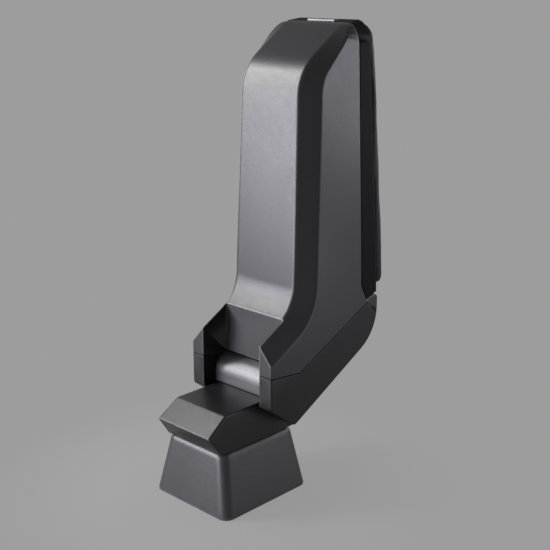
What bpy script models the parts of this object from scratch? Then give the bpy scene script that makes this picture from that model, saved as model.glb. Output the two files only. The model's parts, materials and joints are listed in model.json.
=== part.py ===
"""Centre console armrest, shown folded up: a flared foot, a wedge-nosed hinge head, and a
hinged storage arm with a padded lid and a push-button latch. Metres, +Z up, -Y towards the
front of the car. The origin is the centre of the base plate's underside."""

import bpy
import bmesh
import math
from mathutils import Vector

for old in list(bpy.data.objects):
    bpy.data.objects.remove(old, do_unlink=True)

# Clearances and walls
FIT = 0.0003
RUNNING = 0.0006
WALL = 0.0024
SEAM_GAP = 0.0004

# Hinge axis, across the car, from the origin
HINGE_Y = 0.0237
HINGE_Z = 0.0778

# Arm body. Side-view pairs are (rearward, upward) from the hinge axis.
ARM_HALF_WIDTH = 0.0395
ACROSS = ARM_HALF_WIDTH + 0.0100
ARM_TAPER = 0.5
TAPER_START = 0.085
CHAMFER = 0.0116
CHAMFER_SOFTNESS = 0.0030
TIP_SHARE = 0.14
TWIST_PIECES = 6
EDGE_SOFTNESS = 0.0010
EAR_FRONT = -0.0231
EAR_TOP = 0.0356
EAR_BOTTOM = -0.0091
FACE_FOOT = (0.0100, 0.0542)
FACE_TOP = (0.0165, 0.2152)
LEG_FILLET = 0.027
BROW_FILLET = 0.034
SLOPE_END = (0.0605, 0.2446)
SLOPE_FILLET = 0.014
TIP_REAR = (0.0780, 0.2468)
RIM_TOP = (0.0653, 0.2448)
RIM_FOOT = (0.0700, 0.0620)
LID_NOTCH = (0.0770, 0.0482)
ARM_REAR = 0.0900
HUMP_TOP = 0.0521
HEEL = (ARM_REAR, 0.0205)
HEEL_FILLET = 0.033
TOE = (0.0006, -0.0271)
TOE_FILLET = 0.004
PLAN_TOP = 0.2476
PLAN_RADIUS = 0.0165

# Notch between the ears
EAR_WIDTH = 0.0114
NOTCH_HALF = ARM_HALF_WIDTH - EAR_WIDTH
LIP_HEIGHT = 0.0487
CHEEK_WALL = 0.0020

# Barrel and hinge shaft
BARREL_RADIUS = 0.0122
BARREL_HALF = NOTCH_HALF - RUNNING
SHAFT_RADIUS = 0.0050
BUSH_WALL = 0.0012
BUSH_LENGTH = 0.0120

# Seam between the tray and the hinge cover, ear front to rear
SEAM_FRONT = 0.0140
SEAM_KNEE = (0.0056, 0.0112)
SEAM_CORNER = (0.0780, 0.0459)
SEAM_REAR = 0.0342

# Storage bin
BIN_FLOOR = 0.0620

# Hinge head
HEAD_TOP = -0.0077
HEAD_TOP_FRONT = -0.0523
HEAD_NOSE = (-0.0687, -0.0192)
HEAD_LOWER_FRONT = -0.0586
HEAD_BOTTOM = -0.0334
HEAD_REAR = 0.0113
HEAD_DRAFT = 0.0029
HEAD_HALF_BOTTOM = BARREL_HALF
HEAD_HALF_TOP = HEAD_HALF_BOTTOM - HEAD_DRAFT
HEAD_WALL = 0.0026

# Column and mounting steel
COLUMN_HALF_TOP = HEAD_HALF_BOTTOM + 0.0005
COLUMN_FRONT_TOP = -0.0580
COLUMN_REAR_TOP = 0.0110
COLUMN_SIDE_FLARE = 0.209
COLUMN_FRONT_FLARE = 0.145
COLUMN_REAR_FLARE = 0.135
COLUMN_CORNER = 0.0070
COLUMN_EDGE = 0.0036
COLUMN_WALL = 0.0026
PLATE_THICKNESS = 0.0040
PLATE_HOLE_RADIUS = 0.0033
PLATE_HOLE_AT = (0.0235, 0.0295)
POST_HALF = (0.0160, 0.0110)
POST_WALL = 0.0025
SADDLE_THICKNESS = 0.0030
SADDLE_HALF = 0.0170

# Steel cheeks inside the ears
CHEEK_THICKNESS = 0.0025
CHEEK_EYE = 0.0088
CHEEK_LOBE = 0.0060
CHEEK_SCREWS = ((0.0340, 0.0440), (0.0600, 0.0500))
TIE_AT = (0.0300, 0.0220)
TIE_RADIUS = 0.0035
TENON_RADIUS = 0.0022
WASHER_RADIUS = 0.0085
WASHER_THICKNESS = 0.0008
NUT_RADIUS = 0.0078
NUT_THICKNESS = 0.0024
SCREW_RADIUS = 0.0018
SCREW_HEAD_RADIUS = 0.0034
SCREW_HEAD = 0.0018
BOSS_RADIUS = 0.0042
BARREL_SCREW_AT = (0.0120, -0.0086)
BARREL_SCREW_TOP = -0.0010

# Bin mat
MAT_THICKNESS = 0.0012
MAT_MARGIN = 0.0050
MAT_HALF = ARM_HALF_WIDTH - CHAMFER - MAT_MARGIN

# Lid
LID_REAR_TOP = (0.0774, 0.2467)
LID_REAR_FOOT = 0.0890
LID_WALL = 0.0024
LID_EDGE = 0.0014
LID_PANEL_INSET = 0.0012
LID_PANEL_THICKNESS = 0.0020
LID_PANEL_FOOT = RIM_FOOT[1] + 0.0080
PAD_TOP = (0.0874, 0.2442)
PAD_FOOT = (0.1012, 0.0560)
PAD_NOSE = 0.2455
PAD_HEEL = 0.0550
PAD_INSET = 0.0010
PAD_ROUND = 0.0050
PIN_INSET = 0.0042
PIN_RADIUS = 0.0016
KNUCKLE_RADIUS = 0.0036
KNUCKLE_SPAN = (0.0170, 0.0250)

# Latch. Heights and rearward places are measured from the hinge axis.
BUTTON_HALF = 0.0130
BUTTON_SETBACK = 0.0052
BUTTON_DEPTH = 0.0062
BUTTON_MIDDLE = RIM_TOP[0] + BUTTON_SETBACK
BUTTON_SPAN = (BUTTON_MIDDLE - BUTTON_DEPTH / 2, BUTTON_MIDDLE + BUTTON_DEPTH / 2)
BUTTON_TOP = 0.2466
BUTTON_FOOT = 0.2412
BUTTON_TRAVEL = 0.0025
FLANGE_MARGIN = 0.0014
FLANGE_THICKNESS = 0.0012
STEM_HALF = 0.0040
STEM_THICKNESS = 0.0022
STEM_SPAN = (BUTTON_MIDDLE - STEM_THICKNESS / 2, BUTTON_MIDDLE + STEM_THICKNESS / 2)
HOOK_TOP = 0.2250
HOOK_THICKNESS = 0.0024
TOOTH = (0.0025, 0.0012)
STRIKER_HALF = 0.0070
STRIKER_SETBACK = 0.0043
STRIKER_THICKNESS = 0.0030
STRIKER_SPAN = (RIM_TOP[0] - STRIKER_SETBACK - STRIKER_THICKNESS, RIM_TOP[0] - STRIKER_SETBACK)
STRIKER_FOOT = HOOK_TOP + TOOTH[1] + 0.0020
TOOTH_GAP = 0.0010
HOOK_TOE = STRIKER_SPAN[0] - TOOTH_GAP - TOOTH[0]
SPRING_AT = 0.0088
SPRING_RADIUS = 0.0021
SPRING_WIRE = 0.0004
SPRING_TURNS = 6
SHELF_TOP = 0.2290
SHELF_THICKNESS = 0.0016
LID_PANEL_TOP = SHELF_TOP - SHELF_THICKNESS - 4 * FIT
SPRING_FRONT = BUTTON_MIDDLE - SPRING_RADIUS - 0.0005


def material(name, colour, roughness, metallic=0.0):
    """One Principled finish for a piece."""
    made = bpy.data.materials.new(name)
    made.use_nodes = True
    shader = made.node_tree.nodes["Principled BSDF"]
    shader.inputs["Base Color"].default_value = (*colour, 1.0)
    shader.inputs["Roughness"].default_value = roughness
    shader.inputs["Metallic"].default_value = metallic
    return made


BODY_PLASTIC = material("body_plastic", (0.045, 0.045, 0.050), 0.42)
COVER_PLASTIC = material("cover_plastic", (0.020, 0.020, 0.022), 0.50)
FOOT_PLASTIC = material("foot_plastic", (0.030, 0.030, 0.033), 0.48)
LEATHER = material("pad_leather", (0.018, 0.018, 0.019), 0.60)
SILVER = material("silver_button", (0.60, 0.60, 0.62), 0.25, 0.9)
STEEL = material("zinc_steel", (0.45, 0.45, 0.44), 0.38, 1.0)
NYLON = material("nylon", (0.70, 0.69, 0.64), 0.45)
RUBBER = material("rubber", (0.015, 0.015, 0.015), 0.80)


def shade(obj, angle=math.radians(32)):
    """Smooth shading with the real edges kept sharp."""
    obj.data.shade_smooth()
    obj.data.set_sharp_from_angle(angle=angle)
    return obj


def from_bmesh(bm, name, finish=None):
    """A new object from a closed bmesh, faces pointing out."""
    bmesh.ops.remove_doubles(bm, verts=bm.verts, dist=0.000002)
    bmesh.ops.recalc_face_normals(bm, faces=bm.faces)
    mesh = bpy.data.meshes.new(name)
    bm.to_mesh(mesh)
    bm.free()
    obj = bpy.data.objects.new(name, mesh)
    bpy.context.scene.collection.objects.link(obj)
    if finish:
        mesh.materials.append(finish)
    return obj


def combine(target, tool, operation):
    """Applies one exact boolean and removes the tool."""
    step = target.modifiers.new("step", "BOOLEAN")
    step.operation = operation
    step.object = tool
    step.solver = "EXACT"
    graph = bpy.context.evaluated_depsgraph_get()
    result = bpy.data.meshes.new_from_object(target.evaluated_get(graph))
    target.modifiers.remove(step)
    target.data = result
    bpy.data.objects.remove(tool, do_unlink=True)
    return target


def cut(target, *tools):
    for tool in tools:
        combine(target, tool, "DIFFERENCE")
    return target


def join(target, *tools):
    for tool in tools:
        combine(target, tool, "UNION")
    return target


def keep(target, tool):
    return combine(target, tool, "INTERSECT")


def at_hinge(pair):
    """World (y, z) of a side-view pair measured from the hinge axis."""
    return (HINGE_Y + pair[0], HINGE_Z + pair[1])


def line_at(start, end, height):
    """Rearward place on the side-view line through two pairs at a height."""
    share = (height - start[1]) / (end[1] - start[1])
    return start[0] + (end[0] - start[0]) * share


def arc_pieces(corners, step=math.radians(9)):
    """How many straight pieces each corner's arc gets."""
    found = []
    count = len(corners)
    for index in range(count):
        here = Vector(corners[index][:2])
        before = Vector(corners[index - 1][:2]) - here
        after = Vector(corners[(index + 1) % count][:2]) - here
        found.append(max(2, round(round((math.pi - before.angle(after)) / step, 3))))
    return found


def rounded(corners, step=math.radians(9), arcs=None):
    """Outline through (u, v, radius) corners, each corner turned by an arc of its radius."""
    points = []
    count = len(corners)
    arcs = arcs or arc_pieces(corners, step)
    for index, (u, v, radius) in enumerate(corners):
        here = Vector((u, v))
        before = (Vector(corners[index - 1][:2]) - here).normalized()
        after = (Vector(corners[(index + 1) % count][:2]) - here).normalized()
        if radius <= 0:
            points.append((u, v))
            continue
        opening = before.angle(after)
        tangent = radius / math.tan(opening / 2)
        centre = here + (before + after).normalized() * (radius / math.sin(opening / 2))
        first = here + before * tangent - centre
        turn = math.pi - opening
        pieces = arcs[index]
        sign = 1 if before.cross(after) < 0 else -1
        for piece in range(pieces + 1):
            angle = sign * turn * piece / pieces
            spun = Vector((first.x * math.cos(angle) - first.y * math.sin(angle),
                           first.x * math.sin(angle) + first.y * math.cos(angle)))
            points.append(tuple(centre + spun))
    return points


def arc_reach(before, corner, after, radius):
    """How far from a corner its arc begins."""
    opening = (Vector(before) - Vector(corner)).angle(Vector(after) - Vector(corner))
    return radius / math.tan(opening / 2)


def split_edge(points, corners, arcs, edge, pieces):
    """Adds even points along the straight edge that leaves a corner."""
    last = sum(arcs[k] + 1 if corners[k][2] > 0 else 1 for k in range(edge + 1)) - 1
    start, end = Vector(points[last]), Vector(points[last + 1])
    extra = [tuple(start.lerp(end, k / pieces)) for k in range(1, pieces)]
    return points[:last + 1] + extra + points[last + 1:]


def offset_corners(corners, distances):
    """Corners of the outline whose edges are moved inwards; one distance for each edge
    that leaves a corner. Radii follow, so that arcs stay concentric."""
    count = len(corners)
    area = sum(corners[i][0] * corners[(i + 1) % count][1]
               - corners[(i + 1) % count][0] * corners[i][1] for i in range(count))
    side = 1 if area > 0 else -1
    lines = []
    for index in range(count):
        a = Vector(corners[index][:2])
        b = Vector(corners[(index + 1) % count][:2])
        along = (b - a).normalized()
        inward = Vector((-along.y, along.x)) * side
        lines.append((a + inward * distances[index], along))
    moved = []
    for index in range(count):
        p, d = lines[index - 1]
        q, e = lines[index]
        t = (q - p).cross(e) / d.cross(e)
        spot = p + d * t
        radius = corners[index][2]
        if radius > 0:
            convex = d.cross(e) * side > 0
            change = min(distances[index - 1], distances[index])
            radius = max(0.0001, radius - change if convex else radius + change)
        moved.append((spot.x, spot.y, radius))
    return moved


def skin_loops(loops, name, finish=None):
    """Closed body through equal loops: neighbours are joined, and both ends are filled.
    A twisted quad is parted along a diagonal that both halves of the body share mirrored."""
    bm = bmesh.new()
    rings = [[bm.verts.new(point) for point in loop] for loop in loops]
    bm.faces.new(rings[0])
    bm.faces.new(rings[-1][::-1])
    count = len(rings[0])
    for number, (near, far) in enumerate(zip(rings, rings[1:])):
        if number > (len(rings) - 2) / 2:
            near, far = far, near
        for i in range(count):
            j = (i + 1) % count
            if twist(near[i], near[j], far[j], far[i]) > 1e-6:
                bm.faces.new((near[i], near[j], far[i]))
                bm.faces.new((near[j], far[j], far[i]))
            else:
                bm.faces.new((near[i], near[j], far[j], far[i]))
    return from_bmesh(bm, name, finish)


def twist(a, b, c, d):
    """How far the fourth corner lies from the plane of the other three."""
    normal = (b.co - a.co).cross(c.co - a.co)
    return abs((d.co - a.co).dot(normal)) / normal.length if normal.length > 1e-12 else 0.0


def side_prism(outline, half, name, finish=None):
    """Side-view outline carried straight across, from -half to half."""
    return skin_loops([[(x, y, z) for y, z in outline] for x in (-half, half)], name, finish)


def crowned_prism(corners, front_edges, still_edges, tip, half, chamfer, soften, edge, name):
    """Side-view outline carried across, with the wide chamfer on its front edges, both of
    the chamfer's ridges turned by arcs, and every other long edge lightly rounded. Each
    loop across the body is the outline with its edges moved in by the section's depth.
    The corners at the tip move in by only a share of it, so the chamfer runs out there."""
    arcs = arc_pieces(corners)
    ridge = soften * math.tan(math.radians(22.5))
    section = rounded([(-1.0, 0.0, 0), (half - chamfer, 0.0, soften), (half, chamfer, soften),
                       (half, 1.0, 0), (-1.0, 1.0, 0)], math.radians(15))
    section = [p for p in section if 0 < p[0] and p[1] < 0.9]
    stations = [p[0] for p in section[:-1]] + [half]
    if tip:
        stations += [half - chamfer * k / 3 for k in (1, 2)]
    if edge:
        stations += [half - edge * (1 - math.sin(math.radians(k))) for k in (0, 30, 60)]
    stations = sorted(set(round(x, 7) for x in stations))
    loops = []
    for x in stations:
        depth = chamfer + ridge if x > half - 1e-6 else depth_at(section, x)
        over = max(0.0, x - (half - edge))
        small = edge - math.sqrt(max(0.0, edge * edge - over * over)) if edge else 0.0
        moved = [depth if k in front_edges else 0.0 if k in still_edges else small
                 for k in range(len(corners))]
        outline = offset_corners(corners, moved)
        for k in tip:
            (u, v, _), (far_u, far_v, radius) = corners[k], outline[k]
            outline[k] = (u + (far_u - u) * TIP_SHARE, v + (far_v - v) * TIP_SHARE, radius)
        points = rounded(outline, arcs=arcs)
        if tip:
            points = split_edge(points, outline, arcs, tip[0] - 1, TWIST_PIECES)
        loops.append((x, [at_hinge(p) for p in points]))
    across = [(-x, outline) for x, outline in reversed(loops)] + loops
    return skin_loops([[(x, y, z) for y, z in outline] for x, outline in across], name)


def depth_at(section, x):
    """Depth of the section's skin at a place across the body."""
    if x <= section[0][0]:
        return section[0][1]
    for (x0, d0), (x1, d1) in zip(section, section[1:]):
        if x0 <= x <= x1 and x1 > x0:
            return d0 + (d1 - d0) * (x - x0) / (x1 - x0)
    return section[-1][1]


def plan_corners(half, top, radius):
    """Two cutters that turn the upper corners of the front view."""
    margin = 0.004
    cutters = []
    for side in (-1, 1):
        centre = (half - radius + 0.00001, top - radius)
        arc = []
        for k in range(9):
            angle = math.radians(90 * k / 8)
            arc.append((centre[0] + radius * math.cos(angle), centre[1] + radius * math.sin(angle)))
        outline = arc + [(half - radius, top + margin), (half + margin, top + margin),
                         (half + margin, top - radius)]
        loops = [[(side * x, y, z) for x, z in outline] for y in (-0.2, 0.3)]
        cutters.append(skin_loops(loops, "corner"))
    return cutters


def box(low, high, name, finish=None):
    bm = bmesh.new()
    bmesh.ops.create_cube(bm, size=1.0)
    for vert in bm.verts:
        for axis in range(3):
            middle = (low[axis] + high[axis]) / 2
            vert.co[axis] = middle + vert.co[axis] * (high[axis] - low[axis])
    return from_bmesh(bm, name, finish)


def disc(centre, radius, start, end, axis, name, finish=None, segments=32):
    """Cylinder from start to end along an axis; centre is the other two coordinates."""
    bm = bmesh.new()
    rings = []
    for place in (start, end):
        ring = []
        for k in range(segments):
            angle = 2 * math.pi * (k + 0.5) / segments
            u = centre[0] + radius * math.cos(angle)
            v = centre[1] + radius * math.sin(angle)
            spot = {"x": (place, u, v), "y": (u, place, v), "z": (u, v, place)}[axis]
            ring.append(bm.verts.new(spot))
        rings.append(ring)
    bm.faces.new(rings[0])
    bm.faces.new(rings[1][::-1])
    for k in range(segments):
        n = (k + 1) % segments
        bm.faces.new((rings[0][k], rings[0][n], rings[1][n], rings[1][k]))
    return from_bmesh(bm, name, finish)


def taper(obj):
    """Narrows an arm piece towards the tip: width falls evenly above the taper's start."""
    bm = bmesh.new()
    bm.from_mesh(obj.data)
    start = HINGE_Z + TAPER_START
    bmesh.ops.bisect_plane(bm, geom=bm.verts[:] + bm.edges[:] + bm.faces[:], dist=1e-7,
                           plane_co=(0, 0, start), plane_no=(0, 0, 1))
    for vert in bm.verts:
        if vert.co.z > start:
            vert.co.x *= 1 - ARM_TAPER * (vert.co.z - start)
    bm.to_mesh(obj.data)
    bm.free()
    return obj


# Arm outline

ARM_CORNERS = [
    (EAR_FRONT, EAR_BOTTOM, 0.0025),
    (EAR_FRONT, EAR_TOP, 0.0),
    (*FACE_FOOT, LEG_FILLET),
    (*FACE_TOP, BROW_FILLET),
    (*SLOPE_END, SLOPE_FILLET),
    (*RIM_TOP, 0.0),
    (*RIM_FOOT, 0.0),
    (*LID_NOTCH, 0.0),
    (ARM_REAR, HUMP_TOP, PIN_INSET),
    (*HEEL, HEEL_FILLET),
    (*TOE, TOE_FILLET),
]


ARM_FRONT_EDGES = (1, 2, 3, 4)
ARM_RIM_EDGE = 5
ARM_TIP = (4, 5)

# The two rooms follow the arm's outline: the hinge room below the bin floor, and the bin,
# which stays open to the lid.
ROOM_SPLIT = 0.120
BIN_OPEN = 0.095
HINGE_ROOM_CORNERS = (ARM_CORNERS[:3]
                      + [(line_at(FACE_FOOT, FACE_TOP, ROOM_SPLIT), ROOM_SPLIT, 0.0),
                         (line_at(RIM_TOP, RIM_FOOT, ROOM_SPLIT), ROOM_SPLIT, 0.0)]
                      + ARM_CORNERS[6:])
BIN_CORNERS = (ARM_CORNERS[1:5]
               + [(BIN_OPEN, line_at(RIM_TOP[::-1], TIP_REAR[::-1], BIN_OPEN), 0.0),
                  (BIN_OPEN, EAR_TOP, 0.0)])


def arm_block(corners, front_edges, still_edges, tip, inset, name):
    """Solid that follows an arm outline, inset by a wall; still edges keep their place."""
    moved = offset_corners(corners, [0.0 if k in still_edges else inset
                                     for k in range(len(corners))])
    half = ARM_HALF_WIDTH - inset
    chamfer = CHAMFER - inset * (2 - math.sqrt(2))
    soften = CHAMFER_SOFTNESS if inset == 0 else 0.0005
    edge = EDGE_SOFTNESS if inset == 0 else 0.0
    block = crowned_prism(moved, front_edges, still_edges, tip, half, chamfer, soften, edge, name)
    return cut(block, *plan_corners(half, HINGE_Z + PLAN_TOP - inset, PLAN_RADIUS - inset))


def region(points, name, half=0.06):
    """Side-view region used to keep or cut one part of the arm."""
    return side_prism([at_hinge(p) for p in points], half, name)


SEAM = [(-0.06, SEAM_FRONT), (EAR_FRONT, SEAM_FRONT), SEAM_KNEE, SEAM_CORNER,
        (ARM_REAR, SEAM_REAR), (0.13, SEAM_REAR)]


def shifted_seam(shift):
    return [(u, v + shift) for u, v in SEAM]


def notch_blocks(grow, name):
    """The slot between the ears: over the barrel it stops at the panel, and beside and
    under the barrel it runs back past the head."""
    reach = BARREL_RADIUS + RUNNING
    upper = box((-NOTCH_HALF - grow, -0.2, HINGE_Z - 0.2),
                (NOTCH_HALF + grow, HINGE_Y + grow, HINGE_Z + LIP_HEIGHT + grow), name)
    lower = box((-NOTCH_HALF - grow, -0.2, HINGE_Z - 0.2),
                (NOTCH_HALF + grow, HINGE_Y + reach + grow, HINGE_Z + reach + grow), name)
    return join(upper, lower)


def arm_skin(name):
    """Hollow arm body with the notch and both rooms cut, before it is parted."""
    skin = arm_block(ARM_CORNERS, ARM_FRONT_EDGES, (ARM_RIM_EDGE,), ARM_TIP, 0.0, name)
    cut(skin, notch_blocks(0.0, "notch"))
    hinge_room = arm_block(HINGE_ROOM_CORNERS, (1, 2), (3,), (), WALL, "hinge_room")
    keep(hinge_room, box((-0.1, -0.2, -0.1), (0.1, 0.3, HINGE_Z + BIN_FLOOR), "below"))
    cut(hinge_room, notch_blocks(CHEEK_WALL, "notch_walls"))
    pin_y, pin_z = at_hinge(PIN_AT)
    cut(hinge_room, disc((pin_y, pin_z), PIN_INSET, -ACROSS, ACROSS, "x", "rail"))
    cut(skin, hinge_room)
    bin_room = arm_block(BIN_CORNERS, (0, 1, 2, 3), (4, 5), (3, 4), WALL, "bin_room")
    keep(bin_room, box((-0.1, -0.2, HINGE_Z + BIN_FLOOR + WALL), (0.1, 0.3, 0.6), "above"))
    return cut(skin, bin_room)


PIN_AT = (ARM_REAR - PIN_INSET,
          HUMP_TOP - PIN_INSET * math.hypot(1, (HUMP_TOP - LID_NOTCH[1]) / (ARM_REAR - LID_NOTCH[0]))
          - PIN_INSET * (HUMP_TOP - LID_NOTCH[1]) / (ARM_REAR - LID_NOTCH[0]))


def knuckle_slots(grow):
    """Two boxes in the hump, one for each lid knuckle and the way it swings."""
    y, z = at_hinge(PIN_AT)
    reach = KNUCKLE_RADIUS + RUNNING
    slots = []
    for side in (-1, 1):
        a, b = sorted((side * KNUCKLE_SPAN[0], side * KNUCKLE_SPAN[1]))
        slots.append(box((a - grow, y - reach, z - reach), (b + grow, y + 0.02, z + 0.02), "slot"))
    return slots


PIN_HALF = ARM_HALF_WIDTH - 0.004


def finish_piece(obj, finish, smooth=True):
    """Gives a piece its one material and its shading."""
    obj.data.materials.clear()
    obj.data.materials.append(finish)
    for face in obj.data.polygons:
        face.material_index = 0
    return shade(obj) if smooth else obj


def hinge_box(across, rearward, upward, name, finish=None):
    """Box from three spans; the last two are measured from the hinge axis."""
    low = (across[0], HINGE_Y + rearward[0], HINGE_Z + upward[0])
    high = (across[1], HINGE_Y + rearward[1], HINGE_Z + upward[1])
    return box(low, high, name, finish)


def rod(at, radius, start, end, name, finish=None, segments=32):
    """Cylinder across the arm at a side-view place."""
    return disc(at_hinge(at), radius, start, end, "x", name, finish, segments)


def hull(circles, pieces=24):
    """Convex side-view outline round several (u, v, radius) circles."""
    cloud = []
    for u, v, radius in circles:
        for k in range(pieces):
            angle = 2 * math.pi * k / pieces
            cloud.append((round(u + radius * math.cos(angle), 7),
                          round(v + radius * math.sin(angle), 7)))
    cloud = sorted(set(cloud))

    def half_chain(points):
        chain = []
        for p in points:
            while len(chain) > 1 and ((chain[-1][0] - chain[-2][0]) * (p[1] - chain[-2][1])
                                      - (chain[-1][1] - chain[-2][1]) * (p[0] - chain[-2][0])) <= 0:
                chain.pop()
            chain.append(p)
        return chain[:-1]

    return half_chain(cloud) + half_chain(cloud[::-1])


def slab(outline, start, end, name, finish=None):
    """Side-view outline between two places across the arm."""
    loops = [[(x, *at_hinge(p)) for p in outline] for x in (start, end)]
    return skin_loops(loops, name, finish)


def soft_prism(corners, softness, half, name):
    """Side-view outline across the body, each edge rounded by its own softness."""
    widest = max(softness)
    stations = sorted({0.0} | {widest * (1 - math.sin(math.radians(k))) for k in (0, 30, 60)})
    loops = []
    for inwards in stations[::-1]:
        moved = []
        for edge in softness:
            over = max(0.0, edge - inwards)
            moved.append(edge - math.sqrt(max(0.0, edge * edge - over * over)))
        outline = [at_hinge(p) for p in rounded(offset_corners(corners, moved))]
        loops.append((half - inwards, outline))
    across = [(-x, outline) for x, outline in loops[::-1]] + loops
    return skin_loops([[(x, y, z) for y, z in outline] for x, outline in across], name)


def widen(obj, low, low_factor, high, high_factor):
    """Scales a piece across by a factor that changes evenly with height."""
    for vert in obj.data.vertices:
        share = (vert.co.z - low) / (high - low)
        vert.co.x *= low_factor + (high_factor - low_factor) * share
    return obj


# Where the hinge stack lies across the arm, from the notch outwards
CHEEK_FACE = NOTCH_HALF + CHEEK_WALL + FIT
CHEEK_BACK = CHEEK_FACE + CHEEK_THICKNESS
BOSS_FACE = CHEEK_BACK + FIT
WASHER_FACE = CHEEK_BACK + FIT
NUT_FACE = WASHER_FACE + WASHER_THICKNESS + FIT
NUT_BACK = NUT_FACE + NUT_THICKNESS


def make_tray():
    tray = arm_skin("tray_shell")
    keep(tray, region(shifted_seam(SEAM_GAP / 2) + [(0.13, 0.3), (-0.06, 0.3)], "upper"))
    y, z = at_hinge(PIN_AT)
    cut(tray, disc((y, z), PIN_RADIUS + FIT, -PIN_HALF, PIN_HALF, "x", "bore"), *knuckle_slots(FIT))
    wall_face = ARM_HALF_WIDTH - WALL
    for side in (-1, 1):
        for at in CHEEK_SCREWS:
            ends = sorted((side * BOSS_FACE, side * (wall_face + 0.001)))
            join(tray, rod(at, BOSS_RADIUS, *ends, "boss"))
            ends = sorted((side * (BOSS_FACE - 0.001), side * (wall_face - 0.0004)))
            cut(tray, rod(at, SCREW_RADIUS + FIT, *ends, "pilot", segments=16))
    return finish_piece(taper(tray), BODY_PLASTIC)


def make_cover():
    cover = arm_skin("hinge_cover")
    keep(cover, region(shifted_seam(-SEAM_GAP / 2) + [(0.13, -0.1), (-0.06, -0.1)], "lower"))
    reach = NOTCH_HALF + CHEEK_WALL + 0.001
    cut(cover, rod((0, 0), SHAFT_RADIUS + RUNNING, -reach, reach, "shaft_way"))
    return finish_piece(cover, COVER_PLASTIC)


def make_cheeks():
    """Steel cheeks in the ears, with the eye for the shaft and two screws each."""
    outline = hull([(0, 0, CHEEK_EYE)] + [(*at, CHEEK_LOBE) for at in CHEEK_SCREWS]
                   + [(*TIE_AT, CHEEK_LOBE)])
    made = []
    for side, word in ((-1, "left"), (1, "right")):
        ends = sorted((side * CHEEK_FACE, side * CHEEK_BACK))
        wide = (ends[0] - 0.001, ends[1] + 0.001)
        cheek = slab(outline, *ends, "cheek_plate_" + word)
        cut(cheek, rod((0, 0), SHAFT_RADIUS + FIT, *wide, "eye"))
        cut(cheek, rod(TIE_AT, TENON_RADIUS + FIT, *wide, "tie_hole", segments=16))
        for at in CHEEK_SCREWS:
            cut(cheek, rod(at, SCREW_RADIUS + FIT, *wide, "screw_hole", segments=16))
        made.append(finish_piece(cheek, STEEL))
    tie = rod(TIE_AT, TIE_RADIUS, -CHEEK_FACE + FIT, CHEEK_FACE - FIT, "tie_rod", segments=24)
    join(tie, rod(TIE_AT, TENON_RADIUS, -CHEEK_BACK, CHEEK_BACK, "tenon", segments=16))
    made.append(finish_piece(tie, STEEL))
    for side, word in ((-1, "left"), (1, "right")):
        for number, at in enumerate(CHEEK_SCREWS, 1):
            name = "cheek_screw_" + word + "_" + str(number)
            head = sorted((side * (CHEEK_FACE - FIT), side * (CHEEK_FACE - FIT - SCREW_HEAD)))
            screw = rod(at, SCREW_HEAD_RADIUS, *head, name, segments=16)
            tip = ARM_HALF_WIDTH - WALL - 0.0010
            shank = sorted((side * (CHEEK_FACE - FIT - SCREW_HEAD / 2), side * tip))
            join(screw, rod(at, SCREW_RADIUS, *shank, "shank", segments=16))
            made.append(finish_piece(screw, STEEL))
        washer_ends = sorted((side * WASHER_FACE, side * (WASHER_FACE + WASHER_THICKNESS)))
        washer = rod((0, 0), WASHER_RADIUS, *washer_ends, "friction_washer_" + word)
        cut(washer, rod((0, 0), SHAFT_RADIUS + FIT, washer_ends[0] - 0.001,
                        washer_ends[1] + 0.001, "hole"))
        made.append(finish_piece(washer, NYLON))
    return made


def make_shaft():
    """Steel shaft through the barrel and both ears, with a round nut at each end."""
    shaft = rod((0, 0), SHAFT_RADIUS, -NUT_BACK, NUT_BACK, "hinge_shaft")
    made = [finish_piece(shaft, STEEL)]
    for side, word in ((-1, "left"), (1, "right")):
        ends = sorted((side * NUT_FACE, side * NUT_BACK))
        nut = rod((0, 0), NUT_RADIUS, *ends, "shaft_nut_" + word, segments=6)
        cut(nut, rod((0, 0), SHAFT_RADIUS + FIT, ends[0] - 0.001, ends[1] + 0.001, "hole"))
        made.append(finish_piece(nut, STEEL))
        ends = sorted((side * BARREL_HALF, side * (BARREL_HALF - BUSH_LENGTH)))
        bush = rod((0, 0), SHAFT_RADIUS + FIT + BUSH_WALL, *ends, "barrel_bush_" + word)
        cut(bush, rod((0, 0), SHAFT_RADIUS + FIT, ends[0] - 0.001, ends[1] + 0.001, "hole"))
        made.append(finish_piece(bush, NYLON))
    return made


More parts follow.
